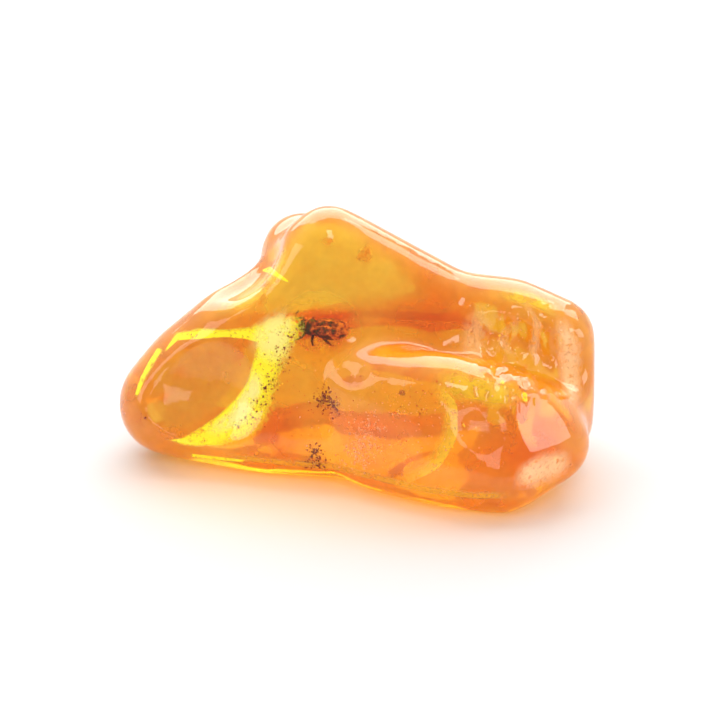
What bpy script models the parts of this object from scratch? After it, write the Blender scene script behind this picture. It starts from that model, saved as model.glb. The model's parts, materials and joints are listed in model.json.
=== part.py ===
"""A beetle in amber: a tumbled and polished nugget of clear amber with one small beetle sealed in it.

Frame: metres, +Z up, +X along the nugget's length, -Y its front. The origin is the bottom centre of
the nugget's box, on its flat base. The nugget is one piece. Here it is parted along the old resin
flow that trapped the beetle, so that the beetle, a frass pellet and a bark fleck lie in pockets that
are open at the parting, and each half of the nugget is one closed solid.
"""

import math

import bmesh
import bpy
from mathutils import Euler, Matrix, Vector

MM = 0.001  # every shape is made in millimetres, and each finished mesh is scaled to metres

# The nugget is a wedge with a peak, a block at its right end, a ridge along its lower front, a knob
# behind the peak and a foot along its back. Each is the skin round some balls: (x, y, z, radius).
WEDGE = (
    (-2.4, 4.0, 20.6, 3.2),
    (-1.0, 6.5, 18.8, 3.2),
    (7.4, 4.0, 14.6, 3.6),
    (3.5, 7.0, 15.0, 3.2),
    (-10.6, 3.8, 12.0, 3.3),
    (-16.8, 2.5, 5.2, 4.9),
    (-13.5, 6.5, 5.0, 4.8),
    (-8.0, -1.0, 3.6, 3.5),
    (0.0, -2.5, 4.0, 3.6),
    (-3.0, 8.5, 4.2, 4.0),
    (9.0, 6.5, 4.2, 4.0),
)
BLOCK = (
    (10.5, 3.5, 13.8, 3.5),
    (14.0, 3.0, 13.4, 3.7),
    (17.8, 2.0, 11.4, 3.8),
    (11.0, 7.5, 11.8, 3.8),
    (17.8, 0.0, 5.0, 3.9),
    (15.0, 6.5, 4.6, 4.2),
    (16.0, -4.0, 5.0, 3.6),
    (8.5, -1.5, 4.4, 4.0),
)
RIDGE = (
    (0.5, -2.5, 9.8, 3.1),
    (7.0, -5.2, 10.1, 3.5),
    (13.5, -6.3, 8.5, 3.8),
    (1.5, -4.4, 3.4, 3.2),
    (7.5, -7.2, 3.4, 3.4),
    (12.8, -8.2, 3.6, 3.7),
    (17.2, -5.3, 5.0, 3.6),
)
KNOB = (
    (-5.1, 9.2, 16.9, 4.0),
    (-3.0, 7.5, 9.0, 4.8),
)
FOOT = (
    (-12.0, 8.5, 5.0, 4.2),
    (-11.0, 9.5, 3.6, 3.3),
    (0.0, 11.0, 6.0, 4.4),
    (0.0, 12.0, 3.8, 3.4),
    (10.0, 10.0, 6.0, 4.2),
    (10.0, 10.5, 3.8, 3.4),
    (-6.0, 5.0, 4.6, 3.4),
)

# What the tumbling and the old breaks took away, as skins round balls too.
GROOVE = (
    (4.8, -1.7, 15.4, 1.9),
    (12.0, -2.0, 13.9, 2.4),
    (19.0, -2.6, 11.2, 2.1),
    (22.5, -3.4, 9.6, 2.1),
)
TOE_DISH = ((-16.0, -14.1, 12.0, 14.0),)
RIGHT_CHIP = (
    (19.4, -11.4, 3.6, 3.6),
    (17.0, -13.4, 1.6, 3.0),
)
HOLLOWS = {"groove": GROOVE, "toe_dish": TOE_DISH, "right_chip": RIGHT_CHIP}

CARVING_VOXEL = 0.6
SKIN_VOXEL = 1.15
TUMBLING = 8  # rounds of smoothing
BASE_AT = 0.45  # the height at which the base is ground flat
ORIGIN = Vector((0.07, 1.83, BASE_AT))  # the bottom centre of the nugget's box

# The parting follows the resin flow: it passes through the beetle and falls towards the front right.
BEETLE_AT = Vector((-3.0, 1.0, 13.2))
PARTING_YAW = math.radians(30)
PARTING_DIP = math.radians(25)
PARTING_GAP = 0.3
BEYOND = 80  # longer than the nugget, for the block that cuts one half away

# The smaller inclusions, which lie on the same flow: centre, radii and turn.
CRUMBS = {
    "frass_pellet": ((4.4, -5.6, 10.0), (0.32, 0.22, 0.26), (0.4, 0.3, 0.0)),
    "bark_fleck": ((-2.6, -2.7, 8.0), (0.3, 0.2, 0.5), (0.0, 0.5, 0.3)),
}
CLEARANCE = 0.35  # between a small inclusion and its pocket

# The beetle lies on its right side, head to the left and a little down, its back towards the front.
BEETLE_TURN = Euler((math.radians(-40), math.radians(-12), math.radians(184)))
# Its round parts in its own frame, head towards +X and back towards +Z: (x, y, z), (rx, ry, rz).
BEETLE_BODY = {
    "belly": ((-0.75, 0.0, -0.02), (1.3, 0.72, 0.5)),
    "left_wing_case": ((-0.78, 0.27, 0.2), (1.38, 0.62, 0.66)),
    "right_wing_case": ((-0.78, -0.27, 0.2), (1.38, 0.62, 0.66)),
    "pronotum": ((0.72, 0.0, 0.14), (0.52, 0.74, 0.54)),
    "head": ((1.3, 0.0, -0.04), (0.44, 0.46, 0.4)),
    "jaws": ((1.68, 0.0, -0.16), (0.16, 0.22, 0.13)),
    "left_eye": ((1.42, 0.36, 0.06), (0.15, 0.13, 0.16)),
    "right_eye": ((1.42, -0.36, 0.06), (0.15, 0.13, 0.16)),
}
# A left leg or feeler is a run of joints, (x, y, z, radius), and the right one is its mirror image.
BEETLE_LIMBS = {
    "fore_leg": (
        (0.95, 0.3, -0.25, 0.13),
        (1.3, 0.85, -0.2, 0.12),
        (1.65, 0.95, -0.6, 0.09),
        (1.9, 0.9, -0.78, 0.07),
    ),
    "mid_leg": (
        (0.4, 0.35, -0.3, 0.13),
        (0.45, 1.02, -0.2, 0.12),
        (0.25, 1.1, -0.72, 0.09),
        (0.05, 1.05, -0.95, 0.07),
    ),
    "hind_leg": (
        (-0.2, 0.35, -0.3, 0.14),
        (-0.75, 1.0, -0.22, 0.13),
        (-1.3, 1.05, -0.65, 0.09),
        (-1.6, 1.0, -0.85, 0.07),
    ),
    "feeler": (
        (1.55, 0.22, 0.05, 0.07),
        (1.95, 0.5, 0.2, 0.06),
        (2.0, 0.9, 0.25, 0.07),
        (1.8, 1.15, 0.22, 0.12),
    ),
}
LIMB_SIDES = 1  # bevel resolution, which gives a limb six sides
WELD = 0.001  # a limb's caps and tube are welded within this
# The pocket is the skin round these balls, in the beetle's frame.
BEETLE_POCKET = (
    (1.7, 0.75, -0.1, 0.95),
    (1.7, -0.75, -0.1, 0.95),
    (0.6, 0.0, 0.2, 0.95),
    (-0.9, 0.0, 0.25, 1.05),
    (-1.2, 0.75, -0.35, 0.95),
    (-1.2, -0.75, -0.35, 0.95),
    (0.3, 0.6, -0.4, 0.95),
    (0.3, -0.6, -0.4, 0.95),
    (-1.6, 0.0, 0.1, 0.95),
)


ROUND = 3  # icosphere subdivisions of what shows a curve
PLAIN = 2  # the same for small and hidden shapes
SMALL_PART = 0.3  # a rounded part no larger than this is plain
SHARP = math.radians(40)  # edges sharper than this show as edges


def clear_scene():
    for old in list(bpy.data.objects):
        bpy.data.objects.remove(old)


def material(name, colour, roughness, transmission=0.0):
    made = bpy.data.materials.new(name)
    made.use_nodes = True
    shader = made.node_tree.nodes["Principled BSDF"]
    shader.inputs["Base Color"].default_value = (*colour, 1.0)
    shader.inputs["Roughness"].default_value = roughness
    shader.inputs["Transmission Weight"].default_value = transmission
    made.diffuse_color = (*colour, 1.0)
    return made


def add_object(name, mesh):
    made = bpy.data.objects.new(name, mesh)
    bpy.context.scene.collection.objects.link(made)
    return made


def add_shape(name, shape):
    """Links a new object that holds the bmesh, and frees the bmesh."""
    mesh = bpy.data.meshes.new(name)
    shape.to_mesh(mesh)
    shape.free()
    return add_object(name, mesh)


def add_cutter(name, shape):
    """A guide that only cuts or joins: it is hidden, so it is no piece of the object."""
    cutter = add_shape(name, shape)
    cutter.hide_render = True
    cutter.display_type = "WIRE"
    return cutter


def finished_mesh(solid):
    """The solid's mesh with its modifiers applied. The solid itself is removed."""
    bpy.context.view_layer.update()
    graph = bpy.context.evaluated_depsgraph_get()
    mesh = bpy.data.meshes.new_from_object(solid.evaluated_get(graph))
    bpy.data.objects.remove(solid)
    return mesh


def hull_of_balls(shape, balls, place=Matrix.Identity(4), fineness=ROUND):
    """Adds the skin that a stretched sheet would make round the balls, set in place by a matrix."""
    points = []
    for x, y, z, radius in balls:
        ball = bmesh.new()
        bmesh.ops.create_icosphere(ball, subdivisions=fineness, radius=radius)
        centre = place @ Vector((x, y, z))
        points += [shape.verts.new(centre + point.co) for point in ball.verts]
        ball.free()
    inside = bmesh.ops.convex_hull(shape, input=points)["geom_interior"]
    bmesh.ops.delete(shape, geom=inside, context="VERTS")


def add_boolean(solid, operation, other):
    step = solid.modifiers.new(other.name, "BOOLEAN")
    step.operation = operation
    step.object = other


def add_one_skin(solid, voxel):
    """One even skin over everything that the solid's shapes cover together."""
    skin = solid.modifiers.new("one_skin", "REMESH")
    skin.mode = "VOXEL"
    skin.voxel_size = voxel


def tumbled_nugget():
    """The whole nugget's mesh, tumbled smooth and ground flat below."""
    shape = bmesh.new()
    for balls in (WEDGE, BLOCK, RIDGE, KNOB, FOOT):
        hull_of_balls(shape, balls)
    nugget = add_shape("nugget", shape)
    add_one_skin(nugget, CARVING_VOXEL)
    for name, balls in HOLLOWS.items():
        hollow = bmesh.new()
        hull_of_balls(hollow, balls)
        add_boolean(nugget, "DIFFERENCE", add_cutter(name, hollow))
    add_one_skin(nugget, SKIN_VOXEL)
    tumble = nugget.modifiers.new("tumble", "SMOOTH")
    tumble.iterations = TUMBLING
    mesh = finished_mesh(nugget)

    ground = bmesh.new()
    ground.from_mesh(mesh)
    everything = [*ground.verts, *ground.edges, *ground.faces]
    base = {"plane_co": (0, 0, BASE_AT), "plane_no": (0, 0, -1)}
    cut = bmesh.ops.bisect_plane(ground, geom=everything, clear_outer=True, **base)
    rim = [item for item in cut["geom_cut"] if isinstance(item, bmesh.types.BMEdge)]
    bmesh.ops.edgeloop_fill(ground, edges=rim)
    bmesh.ops.recalc_face_normals(ground, faces=ground.faces)
    ground.to_mesh(mesh)
    ground.free()
    return mesh


def parting_frame():
    """Places a shape with the parting as its XY plane and the back half above it."""
    towards_back = Euler((math.radians(-90) - PARTING_DIP, 0.0, -PARTING_YAW))
    return Matrix.Translation(BEETLE_AT) @ towards_back.to_matrix().to_4x4()


def add_half_cutter(name, side):
    """A block that takes away everything on one side of the parting, and half of the gap."""
    shape = bmesh.new()
    bmesh.ops.create_cube(shape, size=BEYOND)
    shift = Matrix.Translation((0, 0, side * (BEYOND - PARTING_GAP) / 2))
    shape.transform(parting_frame() @ shift)
    return add_cutter(name, shape)


def beetle_place():
    return Matrix.Translation(BEETLE_AT) @ BEETLE_TURN.to_matrix().to_4x4()


def add_pockets():
    """The room round the beetle and round each smaller inclusion."""
    beetle_room = bmesh.new()
    hull_of_balls(beetle_room, BEETLE_POCKET, beetle_place(), PLAIN)
    pockets = [add_cutter("beetle_pocket", beetle_room)]
    for name, (centre, radii, _) in CRUMBS.items():
        room = bmesh.new()
        hull_of_balls(room, ((*centre, max(radii) + CLEARANCE),), fineness=PLAIN)
        pockets.append(add_cutter(name + "_pocket", room))
    return pockets


def add_node(name, mesh, finish):
    """A finished piece of the object, set on the frame's origin and scaled to metres."""
    mesh.transform(Matrix.Scale(MM, 4) @ Matrix.Translation(-ORIGIN))
    mesh.materials.clear()
    mesh.materials.append(finish)
    mesh.shade_smooth()
    mesh.set_sharp_from_angle(angle=SHARP)
    return add_object(name, mesh)


def add_half(name, whole, away, pockets, finish):
    """One half of the nugget: the whole without the other side and without the pockets."""
    half = add_object("half", whole.copy())
    add_boolean(half, "DIFFERENCE", away)
    for pocket in pockets:
        add_boolean(half, "DIFFERENCE", pocket)
    return add_node(name, finished_mesh(half), finish)


def ellipsoid(centre, radii, fineness):
    shape = bmesh.new()
    size = Matrix.Diagonal(Vector(radii)).to_4x4()
    place = Matrix.Translation(centre)
    bmesh.ops.create_icosphere(shape, subdivisions=fineness, radius=1.0, matrix=place @ size)
    return shape


def add_limb(name, joints, side):
    """A leg or a feeler: a closed six-sided tube through its joints. Side -1 mirrors it to the right."""
    line = bpy.data.curves.new(name, "CURVE")
    line.dimensions = "3D"
    line.bevel_depth = 1.0
    line.bevel_resolution = LIMB_SIDES
    line.use_fill_caps = True
    run = line.splines.new("POLY")
    run.points.add(len(joints) - 1)
    for point, (x, y, z, radius) in zip(run.points, joints):
        point.co = (x, side * y, z, 1)
        point.radius = radius
    shape = bmesh.new()
    shape.from_mesh(finished_mesh(add_object(name, line)))
    bmesh.ops.remove_doubles(shape, verts=shape.verts, dist=WELD)
    bmesh.ops.recalc_face_normals(shape, faces=shape.faces)
    return add_cutter(name, shape)


def add_beetle(finish):
    """The beetle is one piece: its round parts, legs and feelers joined in one skin, then set in place."""
    pieces = []
    for name, (centre, radii) in BEETLE_BODY.items():
        fineness = ROUND if max(radii) > SMALL_PART else PLAIN
        pieces.append(add_cutter(name, ellipsoid(centre, radii, fineness)))
    for name, joints in BEETLE_LIMBS.items():
        pieces.append(add_limb("left_" + name, joints, 1))
        pieces.append(add_limb("right_" + name, joints, -1))
    first, *others = pieces
    body = add_object("beetle_body", first.data.copy())
    for other in others:
        add_boolean(body, "UNION", other)
    mesh = finished_mesh(body)
    mesh.transform(beetle_place())
    return add_node("beetle", mesh, finish)


def add_crumb(name, centre, radii, turn, finish):
    """A small lump of debris."""
    lump = ellipsoid((0, 0, 0), radii, PLAIN)
    lump.transform(Matrix.Translation(centre) @ Euler(turn).to_matrix().to_4x4())
    mesh = bpy.data.meshes.new(name)
    lump.to_mesh(mesh)
    lump.free()
    return add_node(name, mesh, finish)


def main():
    clear_scene()
    amber = material("honey_amber", (0.95, 0.45, 0.06), 0.05, transmission=0.6)
    chitin = material("dark_chitin", (0.12, 0.035, 0.01), 0.35)
    debris = material("brown_debris", (0.2, 0.06, 0.02), 0.8)

    whole = tumbled_nugget()
    pockets = add_pockets()
    add_half("amber_front", whole, add_half_cutter("behind_parting", 1), pockets, amber)
    add_half("amber_back", whole, add_half_cutter("before_parting", -1), pockets, amber)
    add_beetle(chitin)
    for name, (centre, radii, turn) in CRUMBS.items():
        add_crumb(name, centre, radii, turn, debris)


main()
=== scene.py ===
# %% [markdown]
# # A beetle in amber
# A nugget of clear amber with one small beetle sealed in it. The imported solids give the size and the
# place of every piece, and this lesson dresses them: it rebuilds the nugget as one polished piece,
# gives the beetle its details, and adds the mist, flows and crumbs that real amber holds.

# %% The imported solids
import json
import math
import random

import bpy
from mathutils import Euler, Matrix, Vector

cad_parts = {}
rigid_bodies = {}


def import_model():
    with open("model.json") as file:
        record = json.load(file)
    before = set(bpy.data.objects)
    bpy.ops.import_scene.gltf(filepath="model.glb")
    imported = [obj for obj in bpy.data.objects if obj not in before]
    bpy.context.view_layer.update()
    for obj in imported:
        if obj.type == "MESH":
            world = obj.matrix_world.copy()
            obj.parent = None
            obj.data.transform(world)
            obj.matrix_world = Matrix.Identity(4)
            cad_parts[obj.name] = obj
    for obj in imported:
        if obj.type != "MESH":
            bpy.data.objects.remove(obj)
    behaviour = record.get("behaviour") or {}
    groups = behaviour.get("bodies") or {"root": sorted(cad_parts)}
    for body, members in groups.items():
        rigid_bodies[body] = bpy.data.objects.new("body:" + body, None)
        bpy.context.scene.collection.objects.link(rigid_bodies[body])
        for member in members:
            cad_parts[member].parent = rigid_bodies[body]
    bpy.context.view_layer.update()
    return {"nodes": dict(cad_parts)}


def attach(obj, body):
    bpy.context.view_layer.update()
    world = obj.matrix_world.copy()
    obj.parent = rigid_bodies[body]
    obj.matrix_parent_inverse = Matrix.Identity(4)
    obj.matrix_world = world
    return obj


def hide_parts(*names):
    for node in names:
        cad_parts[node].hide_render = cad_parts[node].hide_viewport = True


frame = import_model()
print("solids:", ", ".join(sorted(frame["nodes"])))

# %% [markdown]
# ## Working in millimetres
# The nugget is a few centimetres long and the beetle's feelers are a tenth of a millimetre thick, so
# everything is modelled in millimetres, as on a drawing. The drawing's zero lies a little off the
# frame's origin, the bottom centre of the nugget's box. A finished piece is shifted and scaled once,
# and its object then sits unturned at the origin with its place in its mesh.

# %% Units, selection and modifiers
MM = 0.001
ORIGIN = Vector((0.07, 1.83, 0.45))  # the frame's origin on the drawing


def deselect():
    """Deselects everything, so that an operator acts only on what comes next."""
    bpy.ops.object.select_all(action="DESELECT")


def activate(piece):
    """Makes one object the only selected one, and the active one."""
    deselect()
    piece.select_set(True)
    bpy.context.view_layer.objects.active = piece


def apply_modifier(piece, kind, **settings):
    """Adds a modifier, sets it and applies it."""
    step = piece.modifiers.new(kind, kind)
    for name, value in settings.items():
        setattr(step, name, value)
    activate(piece)
    bpy.ops.object.modifier_apply(modifier=step.name)


def join(pieces, name):
    """Joins objects into the first one and gives it a name."""
    activate(pieces[0])
    for piece in pieces:
        piece.select_set(True)
    bpy.ops.object.join()
    pieces[0].name = name
    return pieces[0]


def finish_piece(piece, slot, finish, *replaced):
    """Sets a finished piece on the frame's origin in metres, gives it its material and lets it ride."""
    activate(piece)
    bpy.ops.object.transform_apply(location=True, rotation=True, scale=True)
    piece.location = -ORIGIN * MM
    piece.scale = (MM, MM, MM)
    bpy.ops.object.transform_apply(location=True, rotation=True, scale=True)
    piece.data.materials.clear()
    piece.data.materials.append(finish)
    if replaced:
        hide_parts(*replaced)
    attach(piece, "root")
    print(f"{piece.name}: {len(piece.data.polygons)} faces, {finish.name}")


# %% [markdown]
# ## Colours and shader nodes
# Colours are written as a screen's hex codes, and one function turns them into the linear light that
# shaders want. A second helper adds a node, sets its values and plugs in its inputs, so that a material
# reads as a short list. Coordinates are in metres, so a noise's Scale says how often it repeats in one.
# Nothing in a nugget has one flat colour, so a third helper mottles a shader by a noise of a real size.

# %% Colour and node helpers
def linear(code):
    """An sRGB hex colour as linear RGBA."""
    channels = [int(code[i : i + 2], 16) / 255 for i in (0, 2, 4)]
    return [c / 12.92 if c <= 0.04045 else ((c + 0.055) / 1.055) ** 2.4 for c in channels] + [1.0]


def add_node(tree, kind, settings, *links):
    """Adds a shader node, sets its inputs and properties, and links (input, output socket) pairs."""
    node = tree.nodes.new("ShaderNode" + kind)
    for name, value in settings.items():
        if name in node.inputs:
            node.inputs[name].default_value = value
        else:
            setattr(node, name, value)
    for name, source in links:
        tree.links.new(source, node.inputs[name])
    return node


def new_material(name, **values):
    """A material with a Principled shader whose sockets are set by name, spaces written as _."""
    made = bpy.data.materials.new(name)
    made.use_nodes = True
    shader = made.node_tree.nodes["Principled BSDF"]
    for socket, value in values.items():
        shader.inputs[socket.replace("_", " ")].default_value = value
    return made, made.node_tree, shader


def mottle(tree, shader, grain_mm, *stops):
    """Gives a shader a colour that a noise drives through (place, hex code) stops. Returns the noise."""
    spot = add_node(tree, "TexCoord", {}).outputs["Object"]
    settings = {"Scale": 1 / (grain_mm * MM), "Detail": 4.0, "Roughness": 0.6}
    grain = add_node(tree, "TexNoise", settings, ("Vector", spot))
    colours = add_node(tree, "ValToRGB", {}, ("Fac", grain.outputs["Fac"]))
    marks = colours.color_ramp.elements
    for _ in stops[2:]:
        marks.new(0.5)
    for mark, (place, code) in zip(marks, stops):
        mark.position = place
        mark.color = linear(code)
    for socket in ("Base Color", "Emission Color"):
        tree.links.new(colours.outputs["Color"], shader.inputs[socket])
    return grain


# %% [markdown]
# ## Camera
# A long lens from a hand's length away, a little above the nugget, keeps its proportions as the eye
# sees them.

# %% Camera
CAMERA_DISTANCE = 178
ELEVATION = math.radians(24)
AIM = Vector((0.45, 0, 10.6))  # the point in the middle of the view
TOWARDS_CAMERA = Vector((0, -math.cos(ELEVATION), math.sin(ELEVATION)))


def to_frame(point):
    """A point of the drawing in the frame's metres."""
    return (Vector(point) - ORIGIN) * MM


def add_object(name, data):
    """Puts a new object into the scene."""
    made = bpy.data.objects.new(name, data)
    bpy.context.scene.collection.objects.link(made)
    return made


camera = add_object("camera", bpy.data.cameras.new("camera"))
camera.data.sensor_width = 36
camera.data.lens = 100
camera.data.clip_start = 0.01
camera.location = to_frame(AIM + CAMERA_DISTANCE * TOWARDS_CAMERA)
camera.rotation_euler = (math.radians(90) - ELEVATION, 0, 0)
bpy.context.scene.camera = camera
print("camera at", [round(c, 3) for c in camera.location])

# %% [markdown]
# ## The nugget's lobes
# Tumbled amber has no edges: it is a few rounded lobes that run into each other. Each one is the skin
# that a stretched sheet makes round some balls, which Blender gets as the convex hull of spheres.
# Metaballs would be softer but hard to steer, and a hull keeps the radii that it is given. The wedge
# carries the peak, the block is the right end, the ridge runs along the lower front, the knob sits
# behind the peak and the foot spreads along the back.

# %% Lobes as skins round balls
LOBES = {  # the balls of each lobe, (x, y, z, radius)
    "wedge": (
        (-2.4, 4.0, 20.6, 3.2), (-1.0, 6.5, 18.8, 3.2), (7.4, 4.0, 14.6, 3.6), (3.5, 7.0, 15.0, 3.2),
        (-10.6, 3.8, 12.0, 3.3), (-16.8, 2.5, 5.2, 4.9), (-14.6, 3.2, 7.7, 4.9), (-13.5, 6.5, 5.0, 4.8),
        (-8.0, -1.0, 3.6, 3.5), (0.0, -2.5, 4.0, 3.6), (-3.0, 8.5, 4.2, 4.0), (9.0, 6.5, 4.2, 4.0),
    ),
    "block": (
        (10.5, 3.5, 13.8, 3.5), (14.0, 3.0, 13.4, 3.7), (17.9, 2.0, 11.9, 3.8), (11.0, 7.5, 11.8, 3.8),
        (17.8, 0.0, 5.0, 3.9), (15.0, 6.5, 4.6, 4.2), (16.0, -4.0, 5.0, 3.6), (8.5, -1.5, 4.4, 4.0),
    ),
    "ridge": (
        (0.5, -2.5, 9.8, 3.1), (7.0, -5.2, 10.1, 3.5), (13.5, -6.3, 8.5, 3.8), (1.5, -4.4, 3.4, 3.2),
        (7.5, -7.2, 3.4, 3.4), (12.8, -8.2, 3.6, 3.7), (17.2, -5.3, 5.0, 3.6),
    ),
    "knob": ((-4.8, 9.2, 17.2, 4.0), (-3.0, 7.5, 9.0, 4.8)),
    "foot": (
        (-12.0, 8.5, 5.0, 4.2), (-11.0, 9.5, 3.6, 3.3), (0.0, 11.0, 6.0, 4.4), (0.0, 12.0, 3.8, 3.4),
        (10.0, 10.0, 6.0, 4.2), (10.0, 10.5, 3.8, 3.4), (-6.0, 5.0, 4.6, 3.4),
    ),
}
FINE_BALL = 4  # icosphere subdivisions that show no facets on a ball of a few millimetres


def add_skin(name, balls, fineness=FINE_BALL):
    """The skin that a stretched sheet makes round some balls, each (x, y, z, radius)."""
    deselect()
    (x, y, z, radius), *others = balls
    bpy.ops.mesh.primitive_ico_sphere_add(subdivisions=fineness, radius=radius, location=(x, y, z))
    skin = bpy.context.object
    skin.name = name
    bpy.ops.object.transform_apply(location=True)
    bpy.ops.object.mode_set(mode="EDIT")
    for x, y, z, radius in others:
        bpy.ops.mesh.primitive_ico_sphere_add(subdivisions=fineness, radius=radius, location=(x, y, z))
    bpy.ops.mesh.select_all(action="SELECT")
    bpy.ops.mesh.convex_hull()
    bpy.ops.object.mode_set(mode="OBJECT")
    return skin


nugget = join([add_skin(name, balls) for name, balls in LOBES.items()], "amber_nugget")
print("lobes:", len(LOBES), "faces:", len(nugget.data.polygons))

# %% [markdown]
# ## One skin, worn smooth
# The lobes still pass through each other. A voxel remesh lays one even skin over them. Then Booleans
# cut out what wear or an old break took away, and rounds of smoothing do what the tumbling barrel does.
# The dish on the left lobe and the flats are younger than the tumbling, so they are cut later and
# smoothed less, and keep a crisp rim. A flat is a cut with a large ball that only just touches.

# %% Hollows and tumbling
EARLY_HOLLOWS = {  # the balls of each hollow, as in LOBES
    "groove": (
        (6.4, -2.0, 15.2, 1.2), (12.0, -2.0, 13.9, 2.4), (19.0, -2.6, 11.2, 2.1), (22.5, -3.4, 9.6, 2.1),
    ),
    "slope_hollow": ((-12.3, 3.0, 21.2, 6.0),),
    "right_chip": ((19.4, -11.4, 3.6, 3.6), (17.0, -13.4, 1.6, 3.0)),
}
LATE_HOLLOWS = {
    "toe_dish": ((-16.0, -14.1, 12.0, 14.0),),
    "crease_flat": ((-3.86, -9.87, 15.98, 8.0),),
    "front_flat": ((9.58, -18.14, 11.61, 9.0),),
    "corner_flat": ((19.34, -14.07, 12.26, 7.0),),
    "fresh_chip": ((19.76, -14.1, 3.5, 6.0),),
    "ridge_end_flat": ((27.6, -27.1, 18.6, 24.0),),
}
COARSE_VOXEL = 0.35
FINE_VOXEL = 0.28
TUMBLING = 70  # rounds of smoothing in the barrel
POLISHING = 12  # rounds after the late cuts


def carve(piece, hollows, fineness):
    """Cuts each hollow, a skin round balls, out of a piece."""
    for name, balls in hollows.items():
        cutter = add_skin(name, balls, fineness)
        apply_modifier(piece, "BOOLEAN", operation="DIFFERENCE", object=cutter)
        bpy.data.objects.remove(cutter)


apply_modifier(nugget, "REMESH", mode="VOXEL", voxel_size=COARSE_VOXEL)
carve(nugget, EARLY_HOLLOWS, FINE_BALL)
apply_modifier(nugget, "REMESH", mode="VOXEL", voxel_size=COARSE_VOXEL)
apply_modifier(nugget, "SMOOTH", factor=0.5, iterations=TUMBLING)
carve(nugget, LATE_HOLLOWS, FINE_BALL + 2)
apply_modifier(nugget, "REMESH", mode="VOXEL", voxel_size=FINE_VOXEL)
apply_modifier(nugget, "SMOOTH", factor=0.5, iterations=POLISHING)
print("nugget's skin:", len(nugget.data.polygons), "faces")

# %% [markdown]
# ## Undulation and folds
# A barrel polishes a nugget but leaves it gently uneven, so a cloud texture pushes the skin in and out
# by less than a tenth of a millimetre. The right block broke along the resin's flow and was worn only
# lightly: its front keeps upright folds, made by the same modifier with a texture that is stretched
# upwards and held to that face by a vertex group.

# %% Undulation and folds
UNEVEN_MM = 0.12
FOLD_MM = 1.1
FOLD_GROUP = "block_front"


def ramp(value, low, high):
    """Rises from 0 at low to 1 at high."""
    return min(max((value - low) / (high - low), 0.0), 1.0)


def block_front(p):
    """How much a point belongs to the folded front of the block."""
    across = ramp(p.x, 9.5, 12.0) * (1 - ramp(p.x, 17.5, 19.5))
    upright = ramp(p.z, 9.5, 11.0) * (1 - ramp(p.z, 14.5, 16.0))
    return across * upright * (1 - ramp(p.y, 0.5, 3.0))


def add_clouds(name, size):
    """A cloud texture for a Displace modifier."""
    texture = bpy.data.textures.new(name, "CLOUDS")
    texture.noise_scale = size
    return texture


folded = nugget.vertex_groups.new(name=FOLD_GROUP)
for vertex in nugget.data.vertices:
    folded.add([vertex.index], block_front(vertex.co), "REPLACE")
upright_guide = add_object("fold_direction", None)
upright_guide.scale = (0.55, 1.2, 2.6)
bpy.context.view_layer.update()
apply_modifier(nugget, "DISPLACE", texture=add_clouds("uneven", 4.0), strength=UNEVEN_MM)
apply_modifier(
    nugget,
    "DISPLACE",
    texture=add_clouds("folds", 1.6),
    texture_coords="OBJECT",
    texture_coords_object=upright_guide,
    vertex_group=FOLD_GROUP,
    strength=FOLD_MM,
)
bpy.data.objects.remove(upright_guide)
print("the skin is uneven by", UNEVEN_MM, "mm and its folds are up to", FOLD_MM / 2, "mm deep")

# %% [markdown]
# ## The base
# The nugget stands on a small flat that was ground on it. Bisect cuts the skin at the height of the
# base, throws away what is below and closes the cut with one face. Shading is smooth except over
# edges that turn more than forty degrees, which keeps the base's rim sharp.

# %% Flat base
SHARP_EDGE = math.radians(40)

activate(nugget)
bpy.ops.object.mode_set(mode="EDIT")
bpy.ops.mesh.select_all(action="SELECT")
bpy.ops.mesh.bisect(plane_co=(0, 0, ORIGIN.z), plane_no=(0, 0, -1), use_fill=True, clear_outer=True)
bpy.ops.object.mode_set(mode="OBJECT")
bpy.ops.object.shade_smooth_by_angle(angle=SHARP_EDGE)
print("nugget:", [round(side, 1) for side in nugget.dimensions], "mm")

# %% [markdown]
# ## Placing things under the skin
# Everything below lies inside the amber and is seen through a curved skin that bends light. One helper
# finds the point under the skin that the eye sees at a given spot: it casts a ray from the camera,
# bends it at the skin by the law of refraction, and follows it inwards. Spots are in millimetres to the
# right of and above the middle of the view.

# %% Under the skin
AMBER_IOR = 1.54
EYE = AIM + CAMERA_DISTANCE * TOWARDS_CAMERA
UPWARDS = Vector((0, math.sin(ELEVATION), math.cos(ELEVATION)))


def under_skin(across, up, depth):
    """The point depth mm under the skin seen at a spot of the view, or None beside the nugget."""
    aim = (AIM + Vector((across, 0, 0)) + up * UPWARDS - EYE).normalized()
    hit, place, normal, _ = nugget.ray_cast(EYE, aim)
    if not hit:
        return None
    facing = -aim.dot(normal)
    inner = math.sqrt(1 - (1 - facing**2) / AMBER_IOR**2)
    bent = aim / AMBER_IOR + normal * (facing / AMBER_IOR - inner)
    return place + bent.normalized() * depth


print("the skin in front of the beetle:", [round(c, 2) for c in under_skin(-3.5, 2.8, 0.0)])

# %% [markdown]
# ## Clear amber
# Baltic amber is a fossil resin with a refractive index of 1.54 that takes a glossy polish. It isn't
# coloured like paint: it takes blue, then green, out of light, more so the further the light goes, so
# a thin edge is lemon and the heart is orange. Plain transmission over an absorbing volume gives all of
# these from one value. Finger marks break the gloss a little, in patches of about three millimetres,
# and the polish leaves wavelets of one millimetre.

# %% Amber
WIPES_PER_METRE = 300.0
WAVELETS_PER_METRE = 900.0
CLEAN, FINGERED = 0.03, 0.1  # roughness where the polish is untouched and where fingers wiped it

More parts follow.
